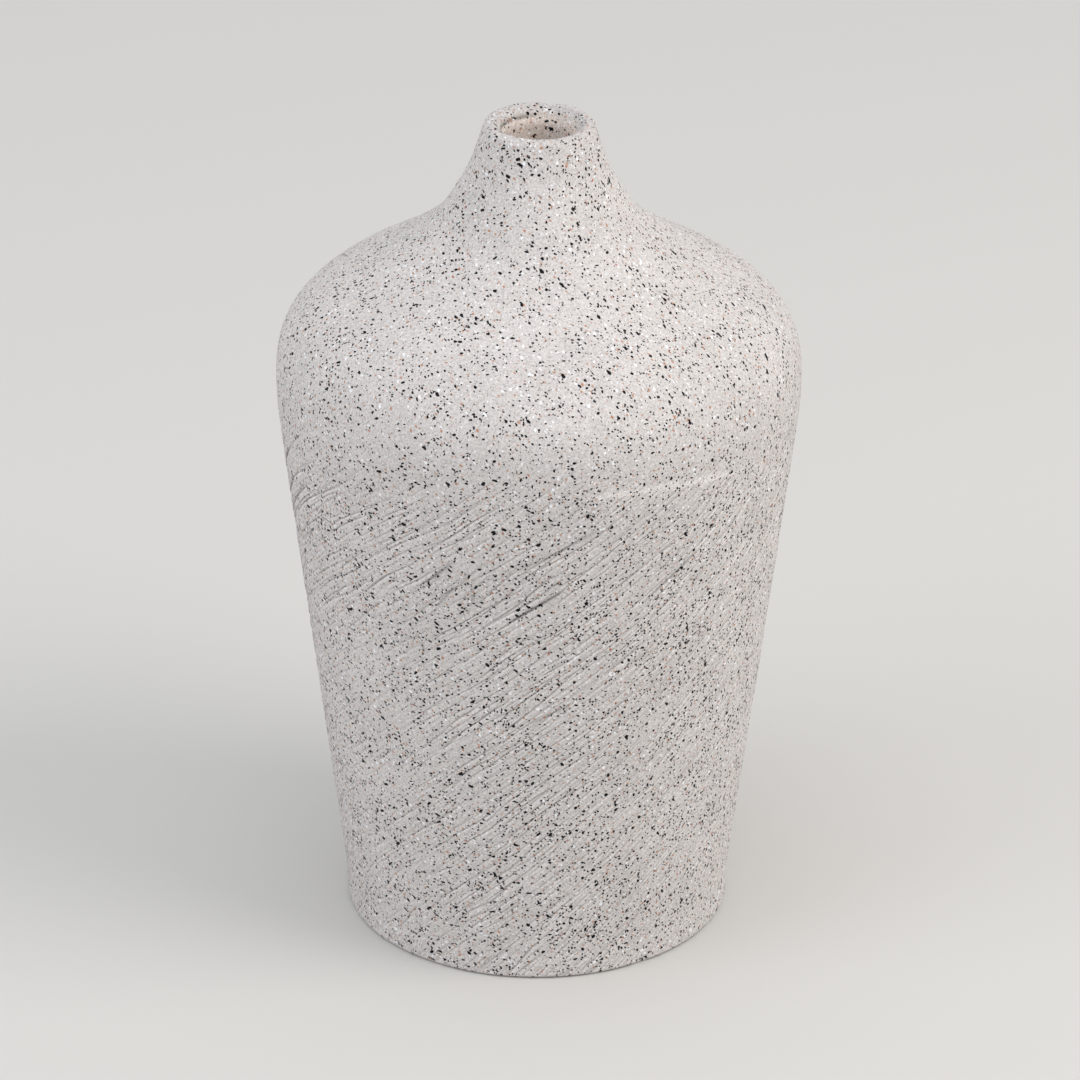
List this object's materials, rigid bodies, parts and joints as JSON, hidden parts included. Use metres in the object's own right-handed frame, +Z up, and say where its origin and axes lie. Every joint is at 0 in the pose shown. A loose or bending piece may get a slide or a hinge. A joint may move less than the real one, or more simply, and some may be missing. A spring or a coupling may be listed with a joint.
{
  "type": "stoneware vase",
  "caption": "Hand-built unglazed stoneware vase with a tapering scraped body, domed shoulder, short flared neck and thick round lip, for holding stems or standing alone.",
  "frame": {"origin": "centre of the flat underside", "axes": "+Z up the axis of the vase, towards the mouth; X and Y are alike, and the camera side is -Y"},
  "size_m": [0.2, 0.2, 0.3265],
  "materials": {
    "smooth_stoneware": "matte",
    "scraped_stoneware": "matte",
    "throat_stoneware": "matte"
  },
  "bodies": {
    "root": {"base_slab": "scraped_stoneware", "base_seam_coil": "throat_stoneware", "lower_wall": "scraped_stoneware", "lower_seam_coil": "throat_stoneware", "middle_wall": "scraped_stoneware", "middle_seam_coil": "throat_stoneware", "upper_wall": "scraped_stoneware", "belly_seam_coil": "throat_stoneware", "belly": "smooth_stoneware", "shoulder_seam_coil": "throat_stoneware", "shoulder": "smooth_stoneware", "neck_seam_coil": "throat_stoneware", "neck": "smooth_stoneware", "lip": "smooth_stoneware"}
  },
  "joints": []
}
